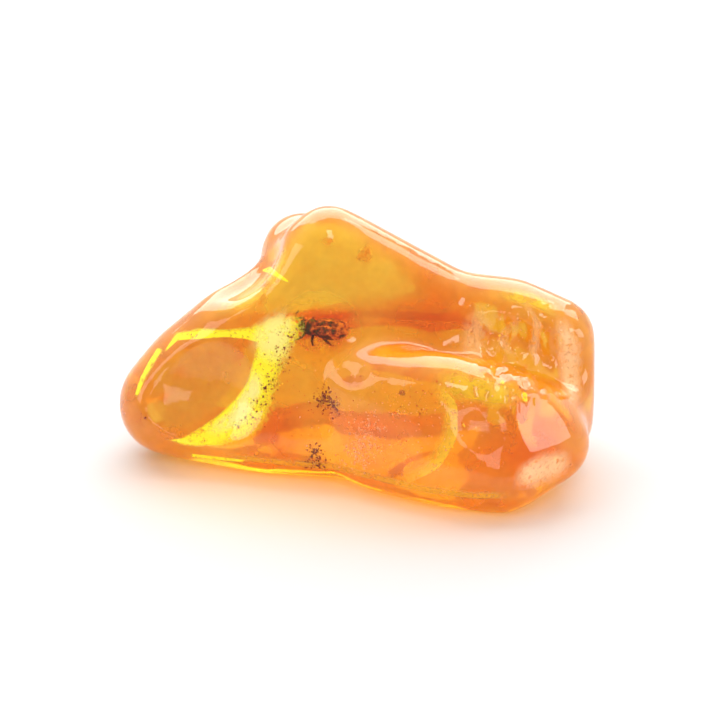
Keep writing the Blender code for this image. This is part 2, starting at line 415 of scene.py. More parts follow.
amber, tree, shader = new_material(
    "tumbled_baltic_amber", Base_Color=(1, 1, 1, 1), IOR=AMBER_IOR, Transmission_Weight=1.0
)
spot = add_node(tree, "TexCoord", {}).outputs["Object"]
wiped = add_node(tree, "TexNoise", {"Scale": WIPES_PER_METRE, "Detail": 3.0}, ("Vector", spot))
settings = {"From Min": 0.4, "From Max": 0.7, "To Min": CLEAN, "To Max": FINGERED}
gloss = add_node(tree, "MapRange", settings, ("Value", wiped.outputs["Fac"]))
tree.links.new(gloss.outputs[0], shader.inputs["Roughness"])
wavelets = add_node(tree, "TexNoise", {"Scale": WAVELETS_PER_METRE, "Detail": 2.0}, ("Vector", spot))
settings = {"Strength": 0.12, "Distance": 0.1 * MM}
polish = add_node(tree, "Bump", settings, ("Height", wavelets.outputs["Fac"]))
tree.links.new(polish.outputs[0], shader.inputs["Normal"])
honey = add_node(tree, "VolumeAbsorption", {"Color": (0.99, 0.85, 0.0, 1), "Density": 280.0})
tree.links.new(honey.outputs["Volume"], tree.nodes["Material Output"].inputs["Volume"])
print("amber: index", AMBER_IOR)

# %% [markdown]
# ## The milky heart
# Most amber is not quite clear. Bubbles too small to see hang in it like mist, and light that meets
# them turns back as a soft honey glow. A scattering volume would show this but takes very long to
# render, so the mist is a skin of its own, a little under the polished one: the same balls with smaller
# radii give the same lobes set in by that much. Its faces let some light through and scatter the rest.

# %% Heart shape
MIST_DEPTH = 0.7  # from the polished skin to the mist
MIST_VOXEL = 0.45
MIST_SMOOTHING = 30  # rounds


def inset(balls, by):
    """The same balls with their radii reduced."""
    return [(x, y, z, radius - by) for x, y, z, radius in balls]


hollows = {name: inset(balls, -MIST_DEPTH) for name, balls in {**EARLY_HOLLOWS, **LATE_HOLLOWS}.items()}
heart = join([add_skin(name, inset(balls, MIST_DEPTH)) for name, balls in LOBES.items()], "milky_heart")
apply_modifier(heart, "REMESH", mode="VOXEL", voxel_size=MIST_VOXEL)
carve(heart, hollows, FINE_BALL + 1)
apply_modifier(heart, "REMESH", mode="VOXEL", voxel_size=MIST_VOXEL)
apply_modifier(heart, "SMOOTH", factor=0.5, iterations=MIST_SMOOTHING)
bpy.ops.object.shade_smooth()
print("heart:", [round(side, 1) for side in heart.dimensions], "mm")

# %% [markdown]
# ## Mist
# The mist's finish is a dull scatter, let through by alpha. One noise of nine millimetres drifts from
# honey to orange, as in resin that ran in several flows, and one of three makes it thicker and thinner.
# In front of the beetle, where the resin ran clear, the distance from a point brings the alpha down to
# nothing. A little emission stands for the light that bounces between the bubbles. The mist is hidden
# from diffuse rays, so that it doesn't dim the warm pool that the nugget throws.

# %% Mist finish
CLEARING = (-3.0, 0.0, 13.4)
CLEARING_RIM = (2.0, 4.5)  # mm from its middle, where the mist starts and where it is whole
CLUMPS_PER_METRE = 330.0
THIN, THICK = 0.34, 0.56  # the mist's alpha between and in its clumps
DRIFT_MM = 9.0
MIST_GLOW = 0.12

mist, tree, shader = new_material(
    "micro_bubble_mist", Roughness=0.9, Specular_IOR_Level=0.0, Emission_Strength=MIST_GLOW
)
drift = mottle(tree, shader, DRIFT_MM, (0.36, "FFD25C"), (0.64, "FAB038"))
spot = drift.inputs["Vector"].links[0].from_socket
clumps = add_node(tree, "TexNoise", {"Scale": CLUMPS_PER_METRE, "Detail": 4.0}, ("Vector", spot))
settings = {"From Min": 0.3, "From Max": 0.7, "To Min": THIN, "To Max": THICK}
density = add_node(tree, "MapRange", settings, ("Value", clumps.outputs["Fac"])).outputs[0]
gap = add_node(tree, "VectorMath", {"operation": "DISTANCE"}, (0, spot))
gap.inputs[1].default_value = to_frame(CLEARING)
start, end = (rim * MM for rim in CLEARING_RIM)
settings = {"From Min": start, "From Max": end, "interpolation_type": "SMOOTHSTEP"}
cleared = add_node(tree, "MapRange", settings, ("Value", gap.outputs["Value"]), ("To Max", density))
tree.links.new(cleared.outputs[0], shader.inputs["Alpha"])
print("mist: alpha from", THIN, "to", THICK)

# %% [markdown]
# ## Embers
# Resin that the sun warmed before it set is redder. Round a few places under the skin the mist turns
# to a redder colour, and back again over some millimetres, so that an ember has no edge. The distance
# to each place drives one mix after another.

# %% Embers
EMBERS = (  # across and up in the view, reach in mm, colour
    (6.6, 3.4, 6.5, "EC5A10"),
    (15.2, -8.6, 5.0, "F06A1C"),
    (-7.4, -6.4, 4.5, "EE6418"),
    (1.5, -8.0, 4.0, "F58A3C"),
)
EMBER_SHARE = 0.85  # how much of the ember's colour shows in its middle

colour = shader.inputs["Base Color"].links[0].from_socket
for across, up, reach, code in EMBERS:
    away = add_node(tree, "VectorMath", {"operation": "DISTANCE"}, (0, spot))
    away.inputs[1].default_value = to_frame(under_skin(across, up, MIST_DEPTH))
    settings = {"From Min": reach * MM, "From Max": 0.0, "To Max": EMBER_SHARE}
    settings["interpolation_type"] = "SMOOTHSTEP"
    share = add_node(tree, "MapRange", settings, ("Value", away.outputs["Value"]))
    turned = add_node(tree, "Mix", {"data_type": "RGBA"}, (0, share.outputs[0]), (6, colour))
    turned.inputs[7].default_value = linear(code)
    colour = turned.outputs[2]
for socket in ("Base Color", "Emission Color"):
    tree.links.new(colour, shader.inputs[socket])
print(len(EMBERS), "embers")
heart.visible_diffuse = False
finish_piece(heart, "honey_amber", mist)

# %% [markdown]
# ## Flow sheets
# Resin runs down a trunk in layers, and dust and gas settle between two flows. Inside the nugget they
# show as thin curved sheets. Each one is a grid whose two long sides are laid along two drawn lines,
# with every point sunk under the skin by the same depth. A shrinkwrap would follow the skin too, but
# not the bent path of the light, which puts a sheet where the eye sees it. The grid's own UV map runs
# across and along the sheet, and its finish uses that to fade at the rim.

# %% Sheets between two lines
SHEET_THICKNESS = 0.03


def along(line, share):
    """The point at a share of the way along a drawn line of evenly spaced points."""
    place = share * (len(line) - 1)
    index = min(int(place), len(line) - 2)
    return Vector(line[index]).lerp(Vector(line[index + 1]), place - index)


def lay_sheet(name, near_side, far_side, depth, flow, cells=(16, 72), slack=8):
    """A sheet between two lines of the view, sunk under the skin."""
    deselect()
    bpy.ops.mesh.primitive_grid_add(x_subdivisions=cells[0], y_subdivisions=cells[1], size=2)
    sheet = bpy.context.object
    sheet.name = name
    lost = 0
    for vertex in sheet.data.vertices:
        u, v = (vertex.co.x + 1) / 2, (vertex.co.y + 1) / 2
        place = under_skin(*along(near_side, v).lerp(along(far_side, v), u), depth)
        lost += place is None
        vertex.co = place or (0, 0, 0)
    if lost:
        print(name, "lost", lost, "points beside the nugget")
    apply_modifier(sheet, "SMOOTH", factor=0.5, iterations=slack)
    apply_modifier(sheet, "SOLIDIFY", thickness=SHEET_THICKNESS)
    bpy.ops.object.shade_smooth()
    sheet.visible_diffuse = False
    finish_piece(sheet, "honey_amber", flows[flow])


# %% [markdown]
# ## Flow finishes
# A flow is milky like the heart, in a colour of its own, and frays out at its rims. Map ranges bring
# the alpha to nothing at the near and the far side, over a share of the width, and at both ends, over
# a share of the length. A noise tears the far side, and through a fifth range it thins the flow in
# patches. Each range takes what the one before it gives as its top, which multiplies them.

# %% Flow finish
def flow_finish(name, code, density, rims, grain_mm, ragged, glow, ends):
    """A scatter that fades at a sheet's rims (near, far) and ends, with a ragged far side."""
    made, tree, shader = new_material(
        name, Roughness=0.9, Specular_IOR_Level=0.0, Base_Color=linear(code), Emission_Color=linear(code)
    )
    # the glow is painted light: emission that makes the flow brighter than the lamps alone make it
    shader.inputs["Emission Strength"].default_value = glow
    place = add_node(tree, "TexCoord", {})
    split = add_node(tree, "SeparateXYZ", {}, ("Vector", place.outputs["UV"]))
    across, lengthwise = split.outputs["X"], split.outputs["Y"]
    settings = {"Scale": 1 / (grain_mm * MM), "Detail": 5.0, "Roughness": 0.65}
    grain = add_node(tree, "TexNoise", settings, ("Vector", place.outputs["Object"])).outputs["Fac"]
    torn = add_node(tree, "Math", {"operation": "MULTIPLY_ADD"}, (0, grain), (2, across))
    torn.inputs[1].default_value = ragged
    far_rim = 1.0 + ragged / 2
    fades = (  # what drives it, where the alpha is nothing, and where it is whole
        (across, 0.0, rims[0]),
        (torn.outputs[0], far_rim, far_rim - rims[1]),
        (lengthwise, 0.0, ends[0]),
        (lengthwise, 1.0, 1.0 - ends[1]),
        (grain, 0.30, 0.52),
    )
    settings = {"To Max": density, "interpolation_type": "SMOOTHSTEP"}
    top = []
    for source, none, whole in fades:
        settings.update({"From Min": none, "From Max": whole})
        faded = add_node(tree, "MapRange", settings, ("Value", source), *top)
        top = [("To Max", faded.outputs[0])]
    tree.links.new(faded.outputs[0], shader.inputs["Alpha"])
    return made


# %% [markdown]
# ## One finish for each flow
# Fresh flows are lemon or yellow, flows that lay open are orange, and crazed ones are peach. The
# lemon and yellow sheets, the cream glint and the peach on the worn corner and the folds are partly
# painted light.

# %% The flows' finishes
FLOWS = {  # colour, density, rims, grain in mm, raggedness, glow, ends
    "lemon_flow_painted_glow": ("FFFA32", 0.95, (0.15, 0.45), 0.45, 0.9, 0.38, (0.06, 0.06)),
    "peak_milk": ("FFE050", 0.7, (0.12, 0.45), 3.0, 0.1, 0.2, (0.4, 0.1)),
    "dish_milk": ("FFB048", 0.7, (0.2, 0.2), 1.5, 0.2, 0.12, (0.15, 0.15)),
    "cream_gas_and_painted_glint": ("FFF8A4", 0.8, (0.45, 0.45), 0.8, 0.6, 0.35, (0.4, 0.4)),
    "amber_milk_and_painted_glow": ("FFDC32", 0.6, (0.4, 0.4), 1.2, 0.5, 0.14, (0.35, 0.35)),
    "arc_milk": ("FFD23C", 0.8, (0.85, 0.15), 0.6, 0.3, 0.3, (0.25, 0.25)),
    "foot_milk": ("FFC83C", 0.6, (0.6, 0.2), 0.8, 0.4, 0.15, (0.1, 0.1)),
    "peach_bloom_and_painted_highlight": ("FFD2A4", 0.7, (0.45, 0.45), 0.4, 0.9, 0.4, (0.3, 0.3)),
    "fold_bloom_and_painted_sheen": ("FFCE96", 0.5, (0.5, 0.45), 0.8, 1.2, 0.3, (0.4, 0.4)),
    "rusty_halo": ("F0703C", 0.6, (0.5, 0.5), 1.0, 0.3, 0.12, (0.5, 0.5)),
}
flows = {name: flow_finish(name, *values) for name, values in FLOWS.items()}
print(len(flows), "flow finishes")

# %% [markdown]
# ## Lemon flow
# Where an old crack let air in, the resin is pale. Its lemon brightness is painted light: the sheets
# glow, standing for lamp light that the crack sends to the eye. They form a crescent round the dish
# with a torn side full of dust, a branch over the dish, and thin lines where the crack comes close to
# the skin.

# %% Lemon flow
lay_sheet(
    "lemon_crescent",
    (
        (-8.7, 3.4), (-9.4, 1.3), (-9.8, -0.4), (-10.2, -2.0), (-11.4, -3.6),
        (-13.0, -5.0), (-14.6, -6.0), (-16.0, -6.9), (-17.3, -7.1),
    ),
    (
        (-4.9, 4.6), (-4.6, 2.4), (-5.9, 0.9), (-6.6, -0.9), (-7.0, -2.6),
        (-7.4, -4.8), (-8.8, -6.6), (-12.0, -7.7), (-15.6, -7.8),
    ),
    depth=0.5, flow="lemon_flow_painted_glow",
)
lay_sheet(
    "lemon_branch",
    ((-17.5, 0.6), (-16.2, 1.7), (-14.2, 1.8), (-12.0, 2.0), (-10.2, 1.8), (-8.7, 1.3), (-6.7, 1.3)),
    ((-17.3, 1.0), (-16.4, 2.5), (-14.2, 3.0), (-12.0, 2.8), (-10.2, 3.0), (-8.7, 3.6), (-6.7, 4.2)),
    depth=0.5, flow="lemon_flow_painted_glow",
)
LEMON_LINES = {
    "lemon_foot_line": (
        ((-15.1, -8.3), (-12.5, -8.6), (-10.2, -8.9)),
        ((-15.1, -8.7), (-12.5, -9.0), (-10.2, -9.15)),
    ),
    "lemon_edge_line": (
        ((-18.0, 1.2), (-18.9, -0.2), (-19.6, -1.6), (-20.1, -3.2)),
        ((-17.4, 1.0), (-18.3, -0.5), (-19.1, -1.8), (-19.7, -3.3)),
    ),
    "lemon_shard": (
        ((-8.8, 8.0), (-8.0, 8.4), (-6.3, 7.0)),
        ((-8.7, 7.9), (-8.0, 7.5), (-6.3, 6.8)),
    ),
}
for name, (near_side, far_side) in LEMON_LINES.items():
    lay_sheet(name, near_side, far_side, depth=0.45, flow="lemon_flow_painted_glow", cells=(6, 30), slack=2)

# %% [markdown]
# ## Clouds
# The peak is the milkiest part of the nugget: a honey cloud fills it down to the beetle and ends in a
# soft line on the right. An orange cloud lies behind the dish, and a cream haze, the gas that left the
# beetle as it decayed, stands beside its head. The same glowing cream finish lies along the crescent's
# torn side as a painted glint.

# %% Clouds
lay_sheet(
    "peak_cloud",
    ((-15.6, 3.2), (-12.0, 5.6), (-8.4, 8.2), (-4.6, 12.9)),
    ((6.0, 4.4), (7.6, 6.0), (5.4, 8.8), (-0.6, 12.4)),
    depth=0.9, flow="peak_milk", cells=(50, 40), slack=20,
)
lay_sheet(
    "dish_cloud",
    ((-19.0, -1.0), (-16.5, 1.4), (-13.0, 1.8), (-10.4, 1.2)),
    ((-18.0, -6.8), (-15.5, -6.6), (-13.2, -5.2), (-10.6, -2.0)),
    depth=1.0, flow="dish_milk", cells=(30, 40), slack=20,
)
lay_sheet(
    "cream_haze",
    ((-10.6, 0.4), (-9.6, 3.4), (-6.6, 5.6)),
    ((-6.4, -1.4), (-5.6, 1.4), (-5.4, 3.6)),
    depth=0.4, flow="cream_gas_and_painted_glint", cells=(30, 30),
)
lay_sheet(
    "crescent_painted_glint",
    ((-9.8, -0.6), (-10.4, -2.4), (-12.0, -4.6), (-14.4, -6.2)),
    ((-8.2, -0.8), (-8.6, -3.0), (-10.0, -5.8), (-13.4, -7.4)),
    depth=0.35, flow="cream_gas_and_painted_glint", cells=(16, 48),
)

# %% [markdown]
# ## Honey flows
# On the ridge and along the top of the block the resin ran thin, and the yellow sheets there are
# partly painted light: they glow to stand for the lamp light that comes through the thin resin. On the
# lower right an arc shows the rim of one drop that set before the next one covered it.

# %% Honey flows
lay_sheet(
    "ridge_flow",
    ((6.3, -0.5), (9.4, -0.6), (12.6, -1.4), (15.2, -3.0)),
    ((6.0, -2.6), (9.0, -4.2), (12.0, -4.6), (14.6, -4.6)),
    depth=0.6, flow="amber_milk_and_painted_glow", cells=(24, 48),
)
lay_sheet(
    "block_flow",
    ((12.0, 6.9), (15.3, 6.2), (18.4, 4.6)),
    ((12.0, 5.2), (15.3, 4.5), (17.8, 3.4)),
    depth=0.5, flow="amber_milk_and_painted_glow", cells=(20, 40),
)
lay_sheet(
    "arc_flow",
    ((5.6, -2.2), (6.9, -4.0), (6.9, -6.6), (5.6, -8.8), (2.6, -10.6)),
    ((7.0, -1.9), (8.9, -3.8), (8.9, -7.0), (7.2, -9.8), (3.4, -11.6)),
    depth=0.5, flow="arc_milk", cells=(16, 60), slack=30,
)
lay_sheet(
    "foot_flow",
    ((-13.0, -8.0), (-7.0, -8.7), (-2.5, -9.0), (1.5, -10.0), (6.0, -11.1), (10.0, -11.6), (13.5, -11.6)),
    ((-13.0, -8.8), (-7.0, -9.4), (-2.5, -9.8), (1.5, -10.8), (6.0, -11.9), (10.0, -12.4), (13.5, -12.4)),
    depth=0.5, flow="foot_milk", cells=(12, 80), slack=4,
)

# %% [markdown]
# ## Peach blooms
# Amber that has lain in air for years crazes: a web of fine cracks whitens its corners and chips. The
# web is too fine to draw, so it shows as a pale peach bloom just under the skin, on the worn corner,
# in the fresh chip and in the hollows between the folds. On the worn corner and between the folds the
# pale peach is also a painted highlight, where the soft boxes' gloss lies on the skin.

# %% Worn corner, chip and folds
lay_sheet(
    "corner_bloom_painted_highlight",
    ((17.1, 4.5), (17.1, 1.8), (17.5, -1.8), (18.6, -4.6)),
    ((18.7, 4.2), (20.0, 1.1), (20.0, -2.4), (19.5, -4.6)),
    depth=0.35, flow="peach_bloom_and_painted_highlight", cells=(20, 50),
)
lay_sheet(
    "chip_bloom",
    ((13.8, -9.2), (16.2, -8.0), (19.0, -7.6)),
    ((13.2, -11.8), (16.2, -11.6), (19.2, -10.0)),
    depth=0.3, flow="peach_bloom_and_painted_highlight", cells=(24, 40),
)
# the fold blooms are partly a painted highlight: pale streaks of the soft boxes' gloss on the folds
FOLDS = (  # the two sides of each fold's bloom, from top to bottom
    (
        ((10.2, 5.4), (8.8, 3.4), (8.6, 1.2), (9.2, -0.6)),
        ((11.4, 5.2), (11.9, 3.0), (11.4, 1.0), (12.2, -0.6)),
    ),
    (
        ((12.7, 3.4), (12.0, 1.8), (12.6, 0.4)),
        ((14.0, 3.8), (13.3, 1.6), (14.4, 0.0)),
    ),
    (
        ((13.8, 5.6), (15.3, 3.4), (14.8, 1.0), (15.6, -1.2)),
        ((14.8, 5.6), (16.4, 3.2), (16.0, 0.8), (16.6, -1.2)),
    ),
)
for index, (near_side, far_side) in enumerate(FOLDS):
    lay_sheet(f"fold_bloom_and_painted_sheen_{index + 1}", near_side, far_side, 0.45, "fold_bloom_and_painted_sheen", (20, 40), slack=10)

# %% [markdown]
# ## The beetle
# A small bark beetle lies on its right side, its back towards the viewer and its head down to the
# left. It is modelled in its own frame, where it walks towards +X with its back up, and is set in
# place at the end. It is made in four pieces, each with a finish of its own: wing cases, body, head
# and limbs.

# %% The beetle's frame
BEETLE_AT = Vector((-3.0, 1.0, 13.2))
BEETLE_TURN = Euler((math.radians(-40), math.radians(-12), math.radians(184)))
BEETLE_SIZE = 1.12
BEETLE_PLACE = (
    Matrix.Translation(BEETLE_AT) @ BEETLE_TURN.to_matrix().to_4x4() @ Matrix.Scale(BEETLE_SIZE, 4)
)


def add_round(name, centre, radii, segments, rings):
    """A round part whose poles lie at its front and back."""
    deselect()
    bpy.ops.mesh.primitive_uv_sphere_add(
        segments=segments, ring_count=rings, radius=1, rotation=(0, math.radians(90), 0)
    )
    part = bpy.context.object
    part.name = name
    bpy.ops.object.transform_apply(rotation=True)
    part.scale = radii
    part.location = centre
    bpy.ops.object.transform_apply(location=True, scale=True)
    return part


def select_points(piece, wanted):
    """Edit mode with just the vertices that wanted(position) picks."""
    activate(piece)
    bpy.ops.object.mode_set(mode="EDIT")
    bpy.ops.mesh.select_mode(type="VERT")
    bpy.ops.mesh.select_all(action="DESELECT")
    bpy.ops.object.mode_set(mode="OBJECT")
    for vertex in piece.data.vertices:
        vertex.select = wanted(vertex.co)
    bpy.ops.object.mode_set(mode="EDIT")


# %% [markdown]
# ## Wing cases
# The hard front wings close over the back and meet in a straight seam. Rows of fine grooves run along
# them. A ball drawn out lengthwise has meridians that run the same way, so every third of them is
# sunk a little, and bisect cuts the inner side straight for the seam.

# %% Wing cases
MERIDIANS = 48
GROOVE_STEP = 3  # meridians from groove to groove
GROOVE_DEPTH = 0.035
SEAM = 0.012
CASE_CENTRE = (-0.78, 0.27, 0.2)
CASE_RADII = (1.38, 0.62, 0.66)
CASE_END = 1.25  # grooves stop this far from the middle


def add_wing_case(side):
    """One wing case, left (1) or right (-1)."""
    x, y, z = CASE_CENTRE
    case = add_round("wing_case", (x, side * y, z), CASE_RADII, MERIDIANS, 24)

    def in_groove(p):
        turn = math.atan2(p.z - z, (p.y - side * y) * CASE_RADII[2] / CASE_RADII[1])
        nearest = round(turn / (math.tau / MERIDIANS))
        return nearest % GROOVE_STEP == 0 and abs(p.x - x) < CASE_END

    select_points(case, in_groove)
    bpy.ops.transform.shrink_fatten(value=-GROOVE_DEPTH)
    bpy.ops.mesh.select_all(action="SELECT")
    bpy.ops.mesh.bisect(
        plane_co=(0, side * SEAM, 0), plane_no=(0, -side, 0), use_fill=True, clear_outer=True
    )
    bpy.ops.object.mode_set(mode="OBJECT")
    bpy.ops.object.shade_smooth_by_angle(angle=SHARP_EDGE)
    return case


wing_cases = join([add_wing_case(1), add_wing_case(-1)], "beetle_wing_cases")
print("wing cases:", len(wing_cases.data.polygons), "faces")

# %% [markdown]
# ## Body, neck shield and head
# Under the wing cases the belly shows as rings: every few tenths of a millimetre one of its circles of
# points is drawn in. The neck shield is a broad smooth cap with a rim, and the head tucks under it,
# with two bulging eyes and a pair of short jaws.

# %% Body and head
BELLY_RINGS = (-1.6, -1.25, -0.9, -0.55, -0.2)
RING_REACH = 0.06
RING_DEPTH = 0.04

belly = add_round("beetle_body", (-0.75, 0, -0.02), (1.3, 0.7, 0.48), 32, 24)
for ring_at in BELLY_RINGS:
    select_points(belly, lambda p: abs(p.x - ring_at) < RING_REACH)
    bpy.ops.transform.shrink_fatten(value=-RING_DEPTH)
    bpy.ops.object.mode_set(mode="OBJECT")
shield = add_round("shield", (0.72, 0, 0.14), (0.52, 0.74, 0.54), 32, 20)
select_points(shield, lambda p: p.x < 0.42)
bpy.ops.transform.resize(value=(1, 1.05, 1.05))
bpy.ops.object.mode_set(mode="OBJECT")
chest = add_round("chest", (0.1, 0, -0.12), (0.8, 0.55, 0.42), 24, 12)
body = join([belly, shield, chest], "beetle_body")
bpy.ops.object.shade_smooth()

skull = add_round("beetle_head", (1.3, 0, -0.04), (0.44, 0.46, 0.4), 32, 16)
select_points(skull, lambda p: p.x > 1.5)
bpy.ops.transform.resize(value=(1, 0.8, 0.8))
bpy.ops.object.mode_set(mode="OBJECT")
eyes = [add_round("eye", (1.42, side * 0.36, 0.06), (0.15, 0.13, 0.16), 16, 10) for side in (1, -1)]
JAW = ((1.62, 0.16, -0.16, 0.09), (1.8, 0.1, -0.2, 0.05), (1.84, 0.02, -0.2, 0.02))
jaws = [add_skin("jaw", [(x, side * y, z, radius) for x, y, z, radius in JAW], 2) for side in (1, -1)]
head = join([skull, *eyes, *jaws], "beetle_head")
bpy.ops.object.shade_smooth()
print("body:", len(body.data.polygons), "faces, head:", len(head.data.polygons), "faces")

# %% [markdown]
# ## Legs and feelers
# A limb is a run of short stiff tubes, thick at the thigh and thin at the foot, that meet in joints.
# A curve with a bevel would bend like rubber there, so each tube is the skin round two balls, as the
# lobes are. A bark beetle's feeler ends in a club.

# %% Limbs
LIMBS = {
    "fore_leg": (
        (0.95, 0.3, -0.25, 0.12), (1.3, 0.85, -0.2, 0.11),
        (1.62, 0.95, -0.58, 0.07), (1.9, 0.9, -0.76, 0.045),
    ),
    "mid_leg": (
        (0.4, 0.35, -0.3, 0.12), (0.45, 1.02, -0.2, 0.11),
        (0.25, 1.1, -0.7, 0.07), (0.05, 1.05, -0.93, 0.045),
    ),
    "hind_leg": (
        (-0.2, 0.35, -0.3, 0.13), (-0.75, 1.0, -0.2, 0.12),
        (-1.3, 1.05, -0.63, 0.07), (-1.6, 1.0, -0.8, 0.045),
    ),
    "feeler": (
        (1.55, 0.22, 0.05, 0.05), (1.95, 0.5, 0.2, 0.035),
        (2.0, 0.9, 0.25, 0.045), (1.82, 1.12, 0.22, 0.1),
    ),
}
TUBE_FINENESS = 2
TUBE_TAPER = 0.8  # a tube's far end against the joint that it meets


def add_limb(joints, side):
    """The tubes of one limb, on the left (1) or right (-1)."""
    places = [(x, side * y, z, radius) for x, y, z, radius in joints]
    return [
        add_skin("tube", (start, (*end[:3], end[3] * TUBE_TAPER)), TUBE_FINENESS)
        for start, end in zip(places, places[1:])
    ]


tubes = [tube for joints in LIMBS.values() for side in (1, -1) for tube in add_limb(joints, side)]
limbs = join(tubes, "beetle_limbs")
bpy.ops.object.shade_smooth()
print("limbs:", len(LIMBS) * 2, "from", len(tubes), "tubes")

# %% [markdown]
# ## Chitin
# A beetle's armour is chitin, a hard glossy skin between chestnut and black. In amber it has partly
# gone to coal and partly let resin in, so the back is mottled: dark brown with rust and honey where
# the resin shines through, in patches of 0.6 mm. Pits of 0.08 mm roughen it. A little emission, a
# painted glow, keeps the rust bright under so much honey.

# %% Chitin finish
PATCH_MM = 0.6
PITS_PER_METRE = 12000.0


def chitin(name, dark, rust, spots, spots_from):
    """Glossy armour in three colours, from dark to the spots that start at a share of the noise."""
    made, tree, shader = new_material(
        name, Roughness=0.35, IOR=1.56, Coat_Weight=0.3, Coat_Roughness=0.25, Emission_Strength=0.15
    )
    grain = mottle(tree, shader, PATCH_MM, (0.42, dark), (0.5, rust), (spots_from, spots))
    spot = grain.inputs["Vector"].links[0].from_socket
    pits = add_node(tree, "TexVoronoi", {"Scale": PITS_PER_METRE}, ("Vector", spot))
    settings = {"Strength": 0.5, "Distance": 0.02 * MM}
    relief = add_node(tree, "Bump", settings, ("Height", pits.outputs["Distance"]))
    tree.links.new(relief.outputs[0], shader.inputs["Normal"])
    return made


beetle_finishes = {
    wing_cases: chitin("mottled_wing_case", "300C05", "A8381A", "F08A34", 0.6),
    body: chitin("mottled_body", "2A0C05", "90301A", "E07A2C", 0.62),
    head: chitin("coal_black_head", "0A0403", "1A0905", "4A1C0C", 0.7),
    limbs: chitin("dark_limbs", "1C0A05", "4A1A09", "8A3A12", 0.67),
}
for piece, finish in beetle_finishes.items():
    piece.data.transform(BEETLE_PLACE)
    finish_piece(piece, "dark_chitin", finish, "beetle")

# %% [markdown]
# ## Halo
# Juices that left the beetle reddened the resin behind it. One more flow sheet, three millimetres
# down, sets its dark outline off from the honey.

# %% Halo
lay_sheet(
    "beetle_halo",
    ((-7.0, -0.4), (-7.2, 2.6), (-6.2, 5.4)),
    ((0.8, -0.4), (1.4, 2.6), (0.6, 5.4)),
    depth=3.0, flow="rusty_halo", cells=(30, 30),
)

# %% [markdown]
# ## Crumbs
# Two larger crumbs lie in the same flow as the beetle: a pellet of wood dust that a boring insect
# left, and a fleck of bark. A ball pushed out of shape by a cloud texture becomes a lump, and the fleck
# is narrower, with ledges from a coarser one. Both are dull, with fibres of one or two tenths of a
# millimetre in two browns.

# %% Pellet and fleck
def add_lump(name, centre, radii, turn, noise_mm, push):
    """A ball that a cloud texture pushes out of shape."""
    deselect()
    bpy.ops.mesh.primitive_ico_sphere_add(subdivisions=4, radius=1)
    lump = bpy.context.object
    lump.name = name
    lump.scale = radii
    bpy.ops.object.transform_apply(scale=True)
    apply_modifier(lump, "DISPLACE", texture=add_clouds(name, noise_mm), strength=push)
    lump.rotation_euler = turn
    lump.location = centre
    bpy.ops.object.transform_apply(location=True, rotation=True)
    bpy.ops.object.shade_smooth()
    return lump


def crumb_finish(name, dark, light, grain_mm, glow=0.3, roughness=0.8):
    """A dull crumb with paler fibres. Light that the amber carries to it counts as emission."""
    made, tree, shader = new_material(name, Roughness=roughness, Emission_Strength=glow)
    fibres = mottle(tree, shader, grain_mm, (0.4, dark), (0.65, light))
    settings = {"Strength": 0.6, "Distance": 0.03 * MM}
    relief = add_node(tree, "Bump", settings, ("Height", fibres.outputs["Fac"]))
    tree.links.new(relief.outputs[0], shader.inputs["Normal"])
    return made


dust_brown = crumb_finish("wood_dust", "7A1C10", "C8502A", grain_mm=0.12)
bark_brown = crumb_finish("bark", "5A2008", "B4602A", grain_mm=0.2)
pellet = add_lump("frass_pellet_crumb", (4.4, -5.6, 10.0), (0.3, 0.2, 0.25), (0.4, 0.3, 0.0), 0.2, 0.08)
finish_piece(pellet, "brown_debris", dust_brown, "frass_pellet")
fleck = add_lump("bark_fleck_crumb", (-2.6, -2.7, 8.0), (0.28, 0.18, 0.48), (0.0, 0.5, 0.3), 0.3, 0.12)
finish_piece(fleck, "brown_debris", bark_brown, "bark_fleck")

# %% [markdown]
# ## Dust
# Fine dust stuck to each flow before the next one covered it, so it lies in trails just under the
# skin. One grain is modelled, a pebble of twenty faces, and copied at random sizes and turns along each
# trail. The seed is fixed, so the dust falls the same way each time.

# %% One grain and its copies
SEED = 7
SIZE_STEPS = (0.6, 0.8, 1.0, 1.6)  # many small grains to each large one

dice = random.Random(SEED)
deselect()
bpy.ops.mesh.primitive_ico_sphere_add(subdivisions=1, radius=1)
grain = bpy.context.object
for vertex in grain.data.vertices:
    vertex.co *= dice.uniform(0.7, 1.2)


def scatter(name, finish, spread, count, depths, sizes, trail):
    """Copies the grain along a drawn line of the view, spread to both sides, and joins the copies."""
    grains = []
    while len(grains) < count:
        across, up = along(trail, dice.random())
        across += dice.gauss(0, spread)
        up += dice.gauss(0, spread)
        place = under_skin(across, up, dice.uniform(*depths))
        if place is None:
            continue
        copy = add_object(name, grain.data.copy())
        size = dice.uniform(*sizes) * dice.choice(SIZE_STEPS)
        turn = Euler([dice.uniform(0, math.tau) for _ in range(3)]).to_matrix().to_4x4()
        flat = Matrix.Diagonal((1, dice.uniform(0.4, 1), dice.uniform(0.3, 0.9), 1))
        copy.data.transform(Matrix.Translation(place) @ turn @ flat @ Matrix.Scale(size, 4))
        grains.append(copy)
    finish_piece(join(grains, name), "brown_debris", finish)


print("grain:", len(grain.data.polygons), "faces")

# %% [markdown]
# ## Trails
# The thickest trail follows the torn side of the crescent. Two clusters lie in the middle, one of them
# at the foot, a few specks sit in the toe, and thin dust is everywhere.

